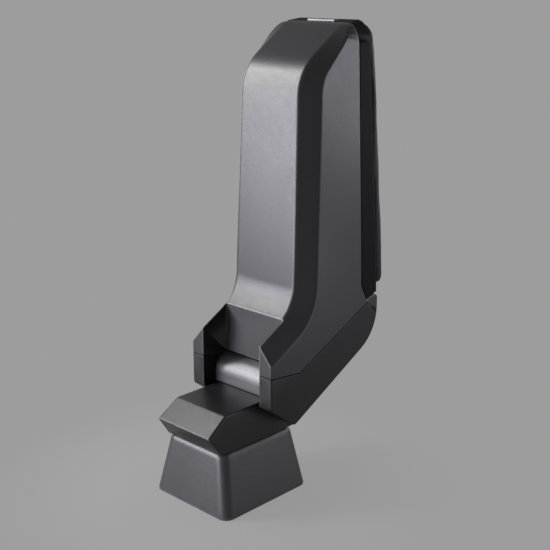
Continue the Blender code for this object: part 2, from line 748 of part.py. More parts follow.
def make_head():
    """Wedge-nosed head, open underneath, and the barrel block that stands on its rear."""
    corners = [(HEAD_REAR, HEAD_TOP, 0.0010), (HEAD_TOP_FRONT, HEAD_TOP, 0.0008),
               (*HEAD_NOSE, 0.0010), (HEAD_LOWER_FRONT, HEAD_BOTTOM, 0.0), (HEAD_REAR, HEAD_BOTTOM, 0.0)]
    top, bottom = HINGE_Z + HEAD_TOP, HINGE_Z + HEAD_BOTTOM
    spread = HEAD_HALF_BOTTOM / HEAD_HALF_TOP
    head = soft_prism(corners, [0.0010, 0.0010, 0.0010, 0.0, 0.0010], HEAD_HALF_TOP, "hinge_head")
    widen(head, bottom, spread, top, 1.0)
    inner = offset_corners(corners, [HEAD_WALL, HEAD_WALL, HEAD_WALL, -0.010, HEAD_WALL])
    room = slab(rounded(inner), -HEAD_HALF_TOP + HEAD_WALL, HEAD_HALF_TOP - HEAD_WALL, "head_room")
    widen(room, bottom, spread, top, 1.0)
    cut(head, room)
    hole_y = HINGE_Y + BARREL_SCREW_AT[1]
    for side in (-1, 1):
        cut(head, disc((side * BARREL_SCREW_AT[0], hole_y), SCREW_RADIUS + FIT,
                       top - 0.01, top + 0.01, "z", "screw_hole", segments=16))
    made = [finish_piece(head, COVER_PLASTIC)]

    foot = HEAD_TOP + FIT
    half_circle = [(BARREL_RADIUS * math.cos(math.radians(a)), BARREL_RADIUS * math.sin(math.radians(a)))
                   for a in range(0, 181, 9)]
    outline = half_circle + [(-BARREL_RADIUS, foot), (BARREL_RADIUS - 0.0012, foot)]
    barrel = slab(outline, -BARREL_HALF, BARREL_HALF, "hinge_barrel")
    cut(barrel, rod((0, 0), SHAFT_RADIUS + RUNNING, -ACROSS, ACROSS, "bore"))
    seat = SHAFT_RADIUS + FIT + BUSH_WALL + FIT
    for side in (-1, 1):
        ends = sorted((side * ACROSS, side * (BARREL_HALF - BUSH_LENGTH - FIT)))
        cut(barrel, rod((0, 0), seat, *ends, "bush_seat"))
        cut(barrel, disc((side * BARREL_SCREW_AT[0], hole_y), SCREW_RADIUS + FIT, top - 0.01,
                         HINGE_Z + BARREL_SCREW_TOP + FIT, "z", "pilot", segments=16))
    made.append(finish_piece(barrel, COVER_PLASTIC))
    return made


SADDLE_TOP = HEAD_TOP - HEAD_WALL - FIT
SADDLE_BOTTOM = SADDLE_TOP - SADDLE_THICKNESS


def rounded_rectangle(half, front, rear, radius, height, pieces=4):
    """Plan loop of a column section."""
    loop = []
    for cx, cy, start in ((half - radius, rear - radius, 0), (-half + radius, rear - radius, 90),
                          (-half + radius, front + radius, 180), (half - radius, front + radius, 270)):
        for k in range(pieces + 1):
            angle = math.radians(start + 90 * k / pieces)
            loop.append((cx + radius * math.cos(angle), cy + radius * math.sin(angle), height))
    return loop


COLUMN_TOP = HINGE_Z + HEAD_BOTTOM - FIT


def column_loop(height, inset, radius):
    """Section of the flared column at a height, moved in by an inset."""
    drop = COLUMN_TOP - height
    half = COLUMN_HALF_TOP + COLUMN_SIDE_FLARE * drop - inset
    front = HINGE_Y + COLUMN_FRONT_TOP - COLUMN_FRONT_FLARE * drop + inset
    rear = HINGE_Y + COLUMN_REAR_TOP + COLUMN_REAR_FLARE * drop - inset
    return rounded_rectangle(half, front, rear, radius, height)


def make_column():
    """Flared column, a thin shell with a round upper edge and a hole for the post."""
    turn = COLUMN_EDGE
    loops = [column_loop(0.0, 0.0, COLUMN_CORNER)]
    for k in range(6):
        angle = math.radians(90 * k / 5)
        loops.append(column_loop(COLUMN_TOP - turn * (1 - math.sin(angle)),
                                 turn * (1 - math.cos(angle)),
                                 COLUMN_CORNER - turn * (1 - math.cos(angle))))
    column = skin_loops(loops, "column_shell")
    inner_corner = COLUMN_CORNER - COLUMN_WALL
    ceiling = COLUMN_TOP - COLUMN_WALL
    cut(column, skin_loops([column_loop(-0.005, COLUMN_WALL, inner_corner),
                            column_loop(ceiling - turn, COLUMN_WALL, inner_corner),
                            column_loop(ceiling, COLUMN_WALL + turn, inner_corner - turn * 0.8)],
                           "column_room"))
    clear = 0.0005
    cut(column, box((-POST_HALF[0] - clear, -POST_HALF[1] - clear, 0.0),
                    (POST_HALF[0] + clear, POST_HALF[1] + clear, 0.1), "post_hole"))
    return finish_piece(column, FOOT_PLASTIC)


def make_steel():
    """Base plate, post and saddle: what carries the head, and what is bolted to the car."""
    top_loop = column_loop(PLATE_THICKNESS, COLUMN_WALL + FIT, COLUMN_CORNER - COLUMN_WALL)
    plate = skin_loops([[(x, y, z) for x, y, _ in top_loop] for z in (0.0, PLATE_THICKNESS)],
                       "base_plate")
    for sx in (-1, 1):
        for sy in (-1, 1):
            cut(plate, disc((sx * PLATE_HOLE_AT[0], sy * PLATE_HOLE_AT[1]), PLATE_HOLE_RADIUS,
                            -0.001, PLATE_THICKNESS + 0.001, "z", "bolt_hole", segments=24))
    made = [finish_piece(plate, STEEL)]

    post_top = HINGE_Z + SADDLE_BOTTOM - FIT
    post = box((-POST_HALF[0], -POST_HALF[1], PLATE_THICKNESS + FIT),
               (POST_HALF[0], POST_HALF[1], post_top), "post")
    cut(post, box((-POST_HALF[0] + POST_WALL, -POST_HALF[1] + POST_WALL, 0.0),
                  (POST_HALF[0] - POST_WALL, POST_HALF[1] - POST_WALL, 0.1), "post_room"))
    made.append(finish_piece(post, STEEL, smooth=False))

    front = -HINGE_Y - POST_HALF[1] - 0.002
    rear = HEAD_REAR - HEAD_WALL - FIT
    saddle = hinge_box((-SADDLE_HALF, SADDLE_HALF), (front, rear), (SADDLE_BOTTOM, SADDLE_TOP), "saddle")
    hole_y = HINGE_Y + BARREL_SCREW_AT[1]
    for side in (-1, 1):
        cut(saddle, disc((side * BARREL_SCREW_AT[0], hole_y), SCREW_RADIUS + FIT,
                         HINGE_Z + SADDLE_BOTTOM - 0.001, HINGE_Z + SADDLE_TOP + 0.001, "z", "hole",
                         segments=16))
    made.append(finish_piece(saddle, STEEL, smooth=False))
    for side, word in ((-1, "left"), (1, "right")):
        at = (side * BARREL_SCREW_AT[0], hole_y)
        under = HINGE_Z + SADDLE_BOTTOM - FIT
        screw = disc(at, SCREW_HEAD_RADIUS, under - SCREW_HEAD, under, "z",
                     "barrel_screw_" + word, segments=16)
        join(screw, disc(at, SCREW_RADIUS, under - SCREW_HEAD / 2, HINGE_Z + BARREL_SCREW_TOP, "z",
                         "shank", segments=16))
        made.append(finish_piece(screw, STEEL))
    return made


def make_mat():
    """Rubber mat on the bin's long wall, which is its floor when the arm is down."""
    low = FACE_FOOT[1] + arc_reach((EAR_FRONT, EAR_TOP), FACE_FOOT, FACE_TOP, LEG_FILLET) + MAT_MARGIN
    high = FACE_TOP[1] - arc_reach(FACE_FOOT, FACE_TOP, SLOPE_END, BROW_FILLET) - MAT_MARGIN
    near = [(line_at(FACE_FOOT, FACE_TOP, v) + WALL + FIT, v) for v in (low, high)]
    outline = [near[0], (near[0][0] + MAT_THICKNESS, low), (near[1][0] + MAT_THICKNESS, high), near[1]]
    return finish_piece(taper(slab(outline, -MAT_HALF, MAT_HALF, "bin_mat")), RUBBER)


def make_pin():
    return finish_piece(rod(PIN_AT, PIN_RADIUS, -PIN_HALF + FIT, PIN_HALF - FIT, "lid_pin", segments=24), STEEL)


def hump_height(rearward):
    """Height of the hump's top line, which the lid's lower end follows."""
    share = (rearward - LID_NOTCH[0]) / (ARM_REAR - LID_NOTCH[0])
    return LID_NOTCH[1] + share * (HUMP_TOP - LID_NOTCH[1])


LID_CORNERS = [(*RIM_TOP, 0.0), (*LID_REAR_TOP, 0.0015), (LID_REAR_FOOT, hump_height(LID_REAR_FOOT), 0.0008),
               (*LID_NOTCH, 0.0), (*RIM_FOOT, 0.0)]


def lid_block(distances, half, softness, plan_inset, name):
    corners = offset_corners(LID_CORNERS, distances)
    block = soft_prism(corners, softness, half, name)
    return cut(block, *plan_corners(half, HINGE_Z + PLAN_TOP - plan_inset, PLAN_RADIUS - plan_inset))


def make_lid():
    """Lid base: a pan open to the bin, with knuckles, the button's opening and two shelves."""
    gap = SEAM_GAP
    lid = lid_block([0.0, 0.0, gap, gap, gap], ARM_HALF_WIDTH,
                    [0.0006, LID_EDGE, 0.0005, 0.0005, 0.0006], 0.0, "lid_base")
    far = -0.012
    room = lid_block([LID_WALL, LID_WALL, LID_WALL + gap, far, far], ARM_HALF_WIDTH - LID_WALL,
                     [0.0001] * 5, LID_WALL, "lid_room")
    cut(lid, room)
    taper(lid)
    neck_top = hump_height(PIN_AT[0]) + LID_WALL
    for side in (-1, 1):
        ends = sorted((side * KNUCKLE_SPAN[0], side * KNUCKLE_SPAN[1]))
        outline = hull([(*PIN_AT, KNUCKLE_RADIUS), (PIN_AT[0] - 0.0026, neck_top, 0.0008),
                        (PIN_AT[0] + 0.0014, neck_top, 0.0008)])
        join(lid, slab(outline, *ends, "knuckle"))
    cut(lid, rod(PIN_AT, PIN_RADIUS + FIT, -ACROSS, ACROSS, "bore", segments=24))
    cut(lid, hinge_box((-BUTTON_HALF - FIT, BUTTON_HALF + FIT),
                       (BUTTON_SPAN[0] - FIT, BUTTON_SPAN[1] + FIT), (BUTTON_FOOT - 0.004, PLAN_TOP + WALL), "opening"))
    for side in (-1, 1):
        across = sorted((side * (SPRING_AT - SPRING_RADIUS - 0.001), side * (SPRING_AT + SPRING_RADIUS + 0.001)))
        rear = line_at((LID_REAR_FOOT, LID_CORNERS[2][1]), LID_REAR_TOP, SHELF_TOP) - LID_WALL / 2
        join(lid, hinge_box(across, (SPRING_FRONT, rear), (SHELF_TOP - SHELF_THICKNESS, SHELF_TOP), "shelf"))
    made = [finish_piece(lid, COVER_PLASTIC)]

    low, high = LID_PANEL_FOOT, LID_PANEL_TOP
    start = LID_PANEL_INSET + SEAM_GAP
    panel_outline = []
    for depth, order in ((start, (low, high)), (start + LID_PANEL_THICKNESS, (high, low))):
        panel_outline += [(line_at(RIM_TOP, RIM_FOOT, v) + depth, v) for v in order]
    panel = slab(panel_outline, -(ARM_HALF_WIDTH - LID_WALL - FIT), ARM_HALF_WIDTH - LID_WALL - FIT, "lid_panel")
    cut(panel, *plan_corners(ARM_HALF_WIDTH - LID_WALL - FIT, HINGE_Z + PLAN_TOP - LID_WALL - FIT,
                             PLAN_RADIUS - LID_WALL - FIT))
    cut(taper(panel), hinge_box((-STEM_HALF - 0.001, STEM_HALF + 0.001), (HOOK_TOE, ARM_REAR),
                                (HOOK_TOP - HOOK_THICKNESS - BUTTON_TRAVEL - 0.001, high + 0.001),
                                "hook_slot"))
    made.append(finish_piece(panel, COVER_PLASTIC))

    rear_line = offset_corners(LID_CORNERS, [0.0, -FIT, 0.0, 0.0, 0.0])
    base_top = (line_at(rear_line[1], rear_line[2], PAD_NOSE), PAD_NOSE)
    base_foot = (line_at(rear_line[1], rear_line[2], PAD_HEEL), PAD_HEEL)
    pad_corners = [(*base_top, 0.0), (*PAD_TOP, 0.004), (*PAD_FOOT, PAD_ROUND), (*base_foot, 0.001)]
    pad = soft_prism(pad_corners, [0.002, PAD_ROUND, 0.002, 0.0005], ARM_HALF_WIDTH - PAD_INSET, "lid_pad")
    cut(pad, *plan_corners(ARM_HALF_WIDTH - PAD_INSET, HINGE_Z + PAD_NOSE + 0.0005, PLAN_RADIUS))
    made.append(finish_piece(taper(pad), LEATHER))
    return made


def make_latch():
    """Silver button cap, the hook it pushes, its two springs and the striker in the bin."""
    cap = hinge_box((-BUTTON_HALF, BUTTON_HALF), BUTTON_SPAN, (BUTTON_FOOT, BUTTON_TOP), "latch_button")
    bevel = cap.modifiers.new("edges", "BEVEL")
    bevel.width = 0.0008
    bevel.segments = 2
    made = [finish_piece(cap, SILVER)]

    margin = FLANGE_MARGIN
    flange_top = BUTTON_FOOT - FIT
    hook = hinge_box((-BUTTON_HALF - margin, BUTTON_HALF + margin),
                     (BUTTON_SPAN[0], BUTTON_SPAN[1]), (flange_top - FLANGE_THICKNESS, flange_top),
                     "latch_hook")
    join(hook, hinge_box((-STEM_HALF, STEM_HALF), STEM_SPAN, (HOOK_TOP - HOOK_THICKNESS, flange_top - 0.0004),
                         "stem"))
    join(hook, hinge_box((-STEM_HALF, STEM_HALF), (HOOK_TOE, STEM_SPAN[1] - 0.0002),
                         (HOOK_TOP - HOOK_THICKNESS, HOOK_TOP), "arm"))
    join(hook, hinge_box((-STEM_HALF, STEM_HALF), (HOOK_TOE, HOOK_TOE + TOOTH[0]),
                         (HOOK_TOP - 0.0010, HOOK_TOP + TOOTH[1]), "tooth"))
    made.append(finish_piece(hook, NYLON, smooth=False))

    ceiling = line_at(FACE_TOP[::-1], SLOPE_END[::-1], STRIKER_SPAN[0]) - WALL * 1.25 - FIT
    striker = hinge_box((-STRIKER_HALF, STRIKER_HALF), STRIKER_SPAN, (STRIKER_FOOT, ceiling), "striker")
    made.append(finish_piece(striker, STEEL, smooth=False))

    for side, word in ((-1, "left"), (1, "right")):
        made.append(make_spring(side, word))
    return made


def make_spring(side, word):
    """Coil spring between its shelf and the flange, a tube along a helix."""
    low = SHELF_TOP + SPRING_WIRE + FIT
    high = BUTTON_FOOT - FIT - FLANGE_THICKNESS - SPRING_WIRE - FIT
    curve = bpy.data.curves.new("spring_path", "CURVE")
    curve.dimensions = "3D"
    curve.bevel_depth = SPRING_WIRE
    curve.bevel_resolution = 0
    curve.use_fill_caps = True
    pieces = SPRING_TURNS * 14
    spline = curve.splines.new("POLY")
    spline.points.add(pieces)
    for k in range(pieces + 1):
        angle = 2 * math.pi * k / 14
        rise = low + (high - low) * k / pieces
        spline.points[k].co = (side * SPRING_AT + SPRING_RADIUS * math.cos(angle),
                               HINGE_Y + BUTTON_MIDDLE + SPRING_RADIUS * math.sin(angle), HINGE_Z + rise, 1.0)
    obj = bpy.data.objects.new("latch_spring_" + word, curve)
    bpy.context.scene.collection.objects.link(obj)
    curve.materials.append(STEEL)
    return obj


def pivot(name, y, z):
    """Empty on a joint's axis."""
    empty = bpy.data.objects.new(name, None)
    empty.location = (0.0, y, z)
    bpy.context.scene.collection.objects.link(empty)
    return empty


def hang(pieces, parent, origin):
    """Parents pieces to a pivot and moves their origins onto its axis."""
    shift = Vector((0.0, *origin))
    for piece in pieces:
        if piece.type == "MESH":
            for vert in piece.data.vertices:
                vert.co -= shift
        else:
            for point in piece.data.splines[0].points:
                point.co = (*(point.co.xyz - shift), 1.0)
        piece.parent = parent


arm_pivot = pivot("arm_pivot", HINGE_Y, HINGE_Z)
lid_origin = at_hinge(PIN_AT)
lid_pivot = pivot("lid_pivot", lid_origin[0] - HINGE_Y, lid_origin[1] - HINGE_Z)
lid_pivot.parent = arm_pivot

make_column()
make_steel()
make_head()
make_shaft()
latch = make_latch()
striker = [piece for piece in latch if piece.name == "striker"]
arm_pieces = [make_tray(), make_cover(), make_mat(), make_pin()] + make_cheeks() + striker
lid_pieces = make_lid() + [piece for piece in latch if piece not in striker]
hang(arm_pieces, arm_pivot, (HINGE_Y, HINGE_Z))
hang(lid_pieces, lid_pivot, lid_origin)
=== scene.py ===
import bpy
import bmesh
import json
import math
import numpy as np
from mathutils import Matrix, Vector

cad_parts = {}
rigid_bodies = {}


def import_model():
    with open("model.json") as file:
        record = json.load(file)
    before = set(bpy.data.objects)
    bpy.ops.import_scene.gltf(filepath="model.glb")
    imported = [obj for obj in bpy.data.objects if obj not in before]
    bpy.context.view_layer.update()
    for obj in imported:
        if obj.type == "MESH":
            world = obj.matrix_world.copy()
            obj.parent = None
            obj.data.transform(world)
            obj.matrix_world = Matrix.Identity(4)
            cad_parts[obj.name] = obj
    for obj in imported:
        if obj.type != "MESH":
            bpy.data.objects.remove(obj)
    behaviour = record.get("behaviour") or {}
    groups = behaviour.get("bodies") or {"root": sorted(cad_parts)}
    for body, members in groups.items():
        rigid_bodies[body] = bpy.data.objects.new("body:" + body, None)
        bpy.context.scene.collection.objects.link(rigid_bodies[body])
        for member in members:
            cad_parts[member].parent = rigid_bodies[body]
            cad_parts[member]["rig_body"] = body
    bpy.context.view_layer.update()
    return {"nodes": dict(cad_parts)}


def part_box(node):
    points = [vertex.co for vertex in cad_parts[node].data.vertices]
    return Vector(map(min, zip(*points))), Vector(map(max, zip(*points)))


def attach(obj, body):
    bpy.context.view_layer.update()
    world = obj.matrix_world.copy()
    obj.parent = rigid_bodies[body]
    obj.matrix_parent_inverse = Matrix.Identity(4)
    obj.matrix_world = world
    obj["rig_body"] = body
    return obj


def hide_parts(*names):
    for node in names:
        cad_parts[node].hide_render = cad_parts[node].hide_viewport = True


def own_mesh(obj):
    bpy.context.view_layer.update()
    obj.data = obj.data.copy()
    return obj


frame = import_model()
cadNodes = frame["nodes"]
print("frame loaded:", len(cadNodes), "nodes")


# Shader maths: a wire is one node output, and +, - and * on it, from either side, add Math nodes.
class Wire:
    def __init__(self, nodes, socket):
        self.nodes = nodes
        self.socket = socket

    def joined(self, operation, first, second):
        return self.nodes.node("ShaderNodeMath", {"operation": operation}, {0: first, 1: second})

    def __add__(self, other):
        return self.joined("ADD", self, other)

    def __radd__(self, other):
        return self.joined("ADD", other, self)

    def __sub__(self, other):
        return self.joined("SUBTRACT", self, other)

    def __rsub__(self, other):
        return self.joined("SUBTRACT", other, self)

    def __mul__(self, other):
        return self.joined("MULTIPLY", self, other)

    def __rmul__(self, other):
        return self.joined("MULTIPLY", other, self)


# One node tree. node() makes any node: its settings first, then its sockets' values or wires.
class Nodes:
    def __init__(self, tree):
        self.tree = tree

    def fill(self, socket, value):
        if isinstance(value, Wire):
            self.tree.links.new(value.socket, socket)
        else:
            socket.default_value = value

    # A ramp's "stops" are where it leaves black and where it reaches white.
    def node(self, kind, settings=None, sockets=None, out=0):
        made = self.tree.nodes.new(kind)
        for key, value in (settings or {}).items():
            if key == "stops":
                for element, stop in zip(made.color_ramp.elements, value):
                    element.position = stop
            else:
                setattr(made, key, value)
        for key, value in (sockets or {}).items():
            self.fill(made.inputs[key], value)
        return Wire(self, made.outputs[out])

    def place(self):
        return self.node("ShaderNodeTexCoord", out="Object")

    # The coordinates times a factor along each axis
    def stretched(self, where, factors):
        return self.node("ShaderNodeMapping", sockets={"Vector": where, "Scale": factors})

    def noise(self, where, scale, detail=3.0, roughness=0.5, distortion=0.0, out="Fac"):
        return self.node("ShaderNodeTexNoise", sockets={
            "Vector": where, "Scale": scale, "Detail": detail, "Roughness": roughness,
            "Distortion": distortion}, out=out)

    # The coordinates plus a noise's colour times an amount
    def bent(self, where, scale, detail, amount):
        return self.node("ShaderNodeVectorMath", {"operation": "MULTIPLY_ADD"}, {
            0: self.noise(where, scale, detail, out="Color"), 1: (amount,) * 3, 2: where})

    # Only the smooth feature, which blends the distances of near cells, takes a smoothness.
    def cells(self, feature, where, scale, smoothness=None, out="Distance"):
        sockets = {"Vector": where, "Scale": scale}
        if smoothness:
            sockets["Smoothness"] = smoothness
        return self.node("ShaderNodeTexVoronoi", {"feature": feature}, sockets, out=out)

    # The value carried from one range to another, and held at that one's ends
    def ranged(self, value, begin, stop, first=0.0, last=1.0, curve="LINEAR"):
        return self.node("ShaderNodeMapRange", {"interpolation_type": curve}, {
            "Value": value, "From Min": begin, "From Max": stop, "To Min": first, "To Max": last})

    # The first colour, moved a share of the way to the second
    def blendColour(self, share, first, second):
        return self.node("ShaderNodeMix", {"data_type": "RGBA"}, {0: share, 6: first, 7: second}, out=2)

    # The normal below, tilted by the slope of a height times a distance in metres
    def bump(self, height, strength, distance, below=None):
        sockets = {"Height": height, "Strength": strength, "Distance": distance}
        if below:
            sockets["Normal"] = below
        return self.node("ShaderNodeBump", sockets=sockets)

    # 1 for a ray that should meet the backdrop: one from the camera, a mirror or glass
    def backdropRay(self):
        camera = self.node("ShaderNodeLightPath", out="Is Camera Ray")
        glossy = self.node("ShaderNodeLightPath", out="Is Glossy Ray")
        through = self.node("ShaderNodeLightPath", out="Is Transmission Ray")
        return camera + glossy + through


# One material's nodes. put() fills the main shader's sockets.
class Finish(Nodes):
    def __init__(self, name):
        self.material = bpy.data.materials.new(name)
        self.material.use_nodes = True
        super().__init__(self.material.node_tree)
        self.shader = self.tree.nodes["Principled BSDF"]

    def put(self, values):
        for key, value in values.items():
            self.fill(self.shader.inputs[key], value)


# A socket's colour: three channels times a factor, none over 1
def colour(base, factor=1.0):
    return (*(min(1.0, channel * factor) for channel in base), 1.0)


# What all moulded parts share; lengths are in metres. The parting line between tray and hinge
# cover is a height over depth: it starts at "level", and changes by the last number of each
# step between the step's two depths. "seam" is how far from it the dirt and painted shade
# reach, and 0 is no line.
mouldLook = {
    "bendScale": 0.35, "bend": 0.5, "pebbleSmoothness": 0.35, "pebbleDeep": 0.00012,
    "pebbleShare": 0.55, "pebbleShade": 0.62, "dark": 0.86, "pale": 1.14,
    "fineScale": 3.2, "fineRough": 0.12, "fineStrength": 0.12, "fineDeep": 0.00006,
    "broadScale": 22.0, "broadRough": 0.10, "mottleScale": 210.0, "mottleRough": 0.11,
    # The keys from the rounding radius to the edge tint set the paler edges: partly wear, partly painted
    # edge highlight.
    "round": 0.0016, "turnFrom": 0.01, "turnTo": 0.05,
    "cornerReach": 0.004, "cornerFrom": 0.80, "cornerTo": 0.95,
    "patchScale": 55.0, "patchStops": (0.42, 0.66),
    "wearAndHighlightTo": 0.118, "wearAndHighlightFade": 0.04, "highUp": 0.2, "wearAndHighlightTint": 14.0, "wearAndHighlightRough": 0.08,
    "seam": 0.0, "seamCore": 0.4, "seamRough": 0.55, "seamDirtAndShadeColour": (0.002, 0.002, 0.002),
    "level": 0.0918,
    "steps": ((0.0006, 0.0293, -0.0028), (0.0293, 0.1017, 0.0347), (0.1017, 0.1137, -0.0117)),
}


# Moulded plastic. The colour is the base times an even noise, darker between the grain's pebbles,
# which are the distance to the nearest cell's middle on bent coordinates. The normal is rounded
# within a radius of each edge. How far it turns from the face's own normal, times patches, is
# the paler edge, most low on the object and none in inner corners: partly wear and partly painted
# highlight along the edges. The roughness is a level plus the shares of three noises, less the
# same edge mask. With a seam, whatever is nearer to the parting line's height than the seam's
# width is dark and rough: dirt and painted shade in the parting line.
def mouldedPlastic(name, ownLook):
    look = {**mouldLook, **ownLook}
    base = look["base"]
    scale = look["grainScale"]
    finish = Finish(name)
    place = finish.place()
    bent = finish.bent(place, scale * look["bendScale"], detail=2.0, amount=look["bend"] / scale)
    pebble = finish.cells("SMOOTH_F1", bent, scale, look["pebbleSmoothness"])
    fine = finish.noise(place, scale * look["fineScale"], detail=4.0, roughness=0.65)
    broad = finish.noise(place, look["broadScale"], roughness=0.55)
    mottle = finish.noise(place, look["mottleScale"], roughness=0.6)
    patches = finish.node("ShaderNodeValToRGB", {"stops": look["patchStops"]}, {
        "Fac": finish.noise(place, look["patchScale"], detail=5.0, roughness=0.7)})
    rounded = finish.node("ShaderNodeBevel", {"samples": 8}, {"Radius": look["round"]})
    plain = finish.node("ShaderNodeNewGeometry", out="Normal")
    turned = 1 - finish.node("ShaderNodeVectorMath", {"operation": "DOT_PRODUCT"},
                             {0: rounded, 1: plain}, out="Value")
    rubbedAndHighlitEdges = finish.ranged(turned, look["turnFrom"], look["turnTo"])
    seen = finish.node("ShaderNodeAmbientOcclusion", {"samples": 4, "only_local": True},
                       {"Distance": look["cornerReach"]}, out="AO")
    outer = finish.ranged(seen, look["cornerFrom"], look["cornerTo"])
    height = finish.node("ShaderNodeSeparateXYZ", sockets={"Vector": place}, out=2)
    low = finish.ranged(height, look["wearAndHighlightTo"], look["wearAndHighlightTo"] + look["wearAndHighlightFade"],
                        1.0, look["highUp"], "SMOOTHSTEP")
    # Paler, glossier edges: partly wear, partly painted highlight where the edges catch the light.
    wearAndHighlight = rubbedAndHighlitEdges * outer * low * (patches * 0.5 + 0.5) * look["wearAndHighlight"]
    flat = finish.blendColour(broad, colour(base, look["dark"]), colour(base, look["pale"]))
    dipped = finish.blendColour(pebble * look["pebbleShare"], flat, colour(base, look["pebbleShade"]))
    shown = finish.blendColour(wearAndHighlight, dipped, colour(base, look["wearAndHighlightTint"]))
    rough = (look["roughness"] + (broad - 0.5) * look["broadRough"]
             + (mottle - 0.5) * look["mottleRough"] + (fine - 0.5) * look["fineRough"]
             - wearAndHighlight * look["wearAndHighlightRough"])
    if look["seam"]:
        line = look["level"]
        depth = finish.node("ShaderNodeSeparateXYZ", sockets={"Vector": place}, out=1)
        for begin, stop, rise in look["steps"]:
            line = line + finish.ranged(depth, begin, stop, 0.0, rise)
        away = finish.node("ShaderNodeMath", {"operation": "ABSOLUTE"}, {0: height - line})
        # Dark line along the parting line: partly dirt, partly painted shade in the groove.
        dirtAndShade = finish.ranged(away, look["seam"] * look["seamCore"], look["seam"], 1.0, 0.0, "SMOOTHSTEP")
        shown = finish.blendColour(dirtAndShade, shown, colour(look["seamDirtAndShadeColour"]))
        rough = rough + dirtAndShade * look["seamRough"]
    relief = finish.bump(fine, look["fineStrength"], look["fineDeep"], rounded)
    finish.put({"Base Color": shown, "Roughness": rough, "Specular IOR Level": look["shine"],
                "Normal": finish.bump(1 - pebble, look["grainDepth"], look["pebbleDeep"], relief)})
    return finish.material


# Each look's wear share sets how strong the paler edges are: partly wear, partly painted edge highlight.
bodyLook = {"base": (0.0118, 0.0114, 0.0132), "roughness": 0.40, "grainScale": 980.0,
            "grainDepth": 0.32, "wearAndHighlight": 0.8, "shine": 0.51, "seam": 0.0008}
coverLook = {"base": (0.0085, 0.0085, 0.0088), "roughness": 0.42, "grainScale": 1050.0,
             "grainDepth": 0.34, "wearAndHighlight": 0.5, "shine": 0.29, "seam": 0.0008}
headLook = {"base": (0.0100, 0.0100, 0.0108), "roughness": 0.38, "grainScale": 1100.0,
            "grainDepth": 0.26, "wearAndHighlight": 0.9, "shine": 0.31}
barrelLook = {"base": (0.0200, 0.0200, 0.0212), "roughness": 0.45, "grainScale": 1200.0,
              "grainDepth": 0.10, "wearAndHighlight": 0.2, "shine": 0.95}
footLook = {"base": (0.0220, 0.0216, 0.0236), "roughness": 0.42, "grainScale": 900.0,
            "grainDepth": 0.34, "wearAndHighlight": 0.3, "shine": 0.58, "round": 0.0036}
rimLook = {"base": (0.0100, 0.0100, 0.0104), "roughness": 0.58, "grainScale": 1050.0,
           "grainDepth": 0.24, "wearAndHighlight": 0.2, "shine": 0.05}
bodyPlastic = mouldedPlastic("bodyPlastic", bodyLook)
coverPlastic = mouldedPlastic("coverPlastic", coverLook)
headPlastic = mouldedPlastic("headPlastic", headLook)
barrelPlastic = mouldedPlastic("barrelPlastic", barrelLook)
footPlastic = mouldedPlastic("footPlastic", footLook)
rimPlastic = mouldedPlastic("rimPlastic", rimLook)

padSkinLook = {
    "base": (0.0150, 0.0150, 0.0160), "dark": 0.84, "pale": 1.2, "creaseShade": 0.55,
    "roughness": 0.50, "broadRough": 0.16, "creaseRough": 0.12, "broadScale": 14.0,
    "grainScale": 620.0, "grainDepth": 0.55, "grainDeep": 0.00010, "creaseStops": (0.0, 0.16),
    "bendScale": 0.3, "bend": 0.9,
    "smallScale": 2.6, "smallSmoothness": 0.4, "smallStrength": 0.2, "smallDeep": 0.00006,
    "foldStretch": (1.0, 1.0, 3.4), "foldScale": 17.0, "foldStrength": 0.30, "foldDeep": 0.0011,
    "sheen": 0.03, "sheenRoughness": 0.45, "shine": 0.20,
}


# Soft pad skin. The creases are where cells meet, on bent coordinates: darker, rougher and deep.
# Smaller cells and a noise stretched along the pad are added to the relief, as grain and folds.
def padSkin(look):
    base = look["base"]
    scale = look["grainScale"]
    finish = Finish("padSkin")
    place = finish.place()
    bent = finish.bent(place, scale * look["bendScale"], detail=3.0, amount=look["bend"] / scale)
    edges = finish.cells("DISTANCE_TO_EDGE", bent, scale)
    small = finish.cells("SMOOTH_F1", bent, scale * look["smallScale"], look["smallSmoothness"])
    swollen = finish.node("ShaderNodeValToRGB", {"stops": look["creaseStops"]}, {"Fac": edges})
    broad = finish.noise(place, look["broadScale"], detail=4.0, roughness=0.6)
    folds = finish.noise(finish.stretched(place, look["foldStretch"]), look["foldScale"],
                         detail=5.0, roughness=0.55, distortion=0.6)
    worn = finish.blendColour(broad, colour(base, look["dark"]), colour(base, look["pale"]))
    folded = finish.bump(folds, look["foldStrength"], look["foldDeep"])
    grained = finish.bump(small, look["smallStrength"], look["smallDeep"], folded)
    finish.put({
        "Base Color": finish.blendColour(1 - swollen, worn, colour(base, look["creaseShade"])),
        "Roughness": (look["roughness"] + (broad - 0.5) * look["broadRough"]
                      + (1 - swollen) * look["creaseRough"]),
        "Normal": finish.bump(swollen, look["grainDepth"], look["grainDeep"], grained),
        "Sheen Weight": look["sheen"], "Sheen Roughness": look["sheenRoughness"],
        "Specular IOR Level": look["shine"]})
    return finish.material


padLeather = padSkin(padSkinLook)

steelLook = {
    "base": (0.62, 0.62, 0.60), "dark": 0.88, "pale": 1.1, "bloomScale": 210.0, "bloomShare": 0.5,
    "roughness": 0.34, "lineRough": 0.16, "lineStretch": (4.0, 60.0, 4.0), "lineScale": 30.0,
    "lineStrength": 0.15, "lineDeep": 0.00004,
    "stainScale": 34.0, "stainStops": (0.55, 0.78), "stainShade": 0.55, "stainShare": 0.5,
    "stainRough": 0.2,
}


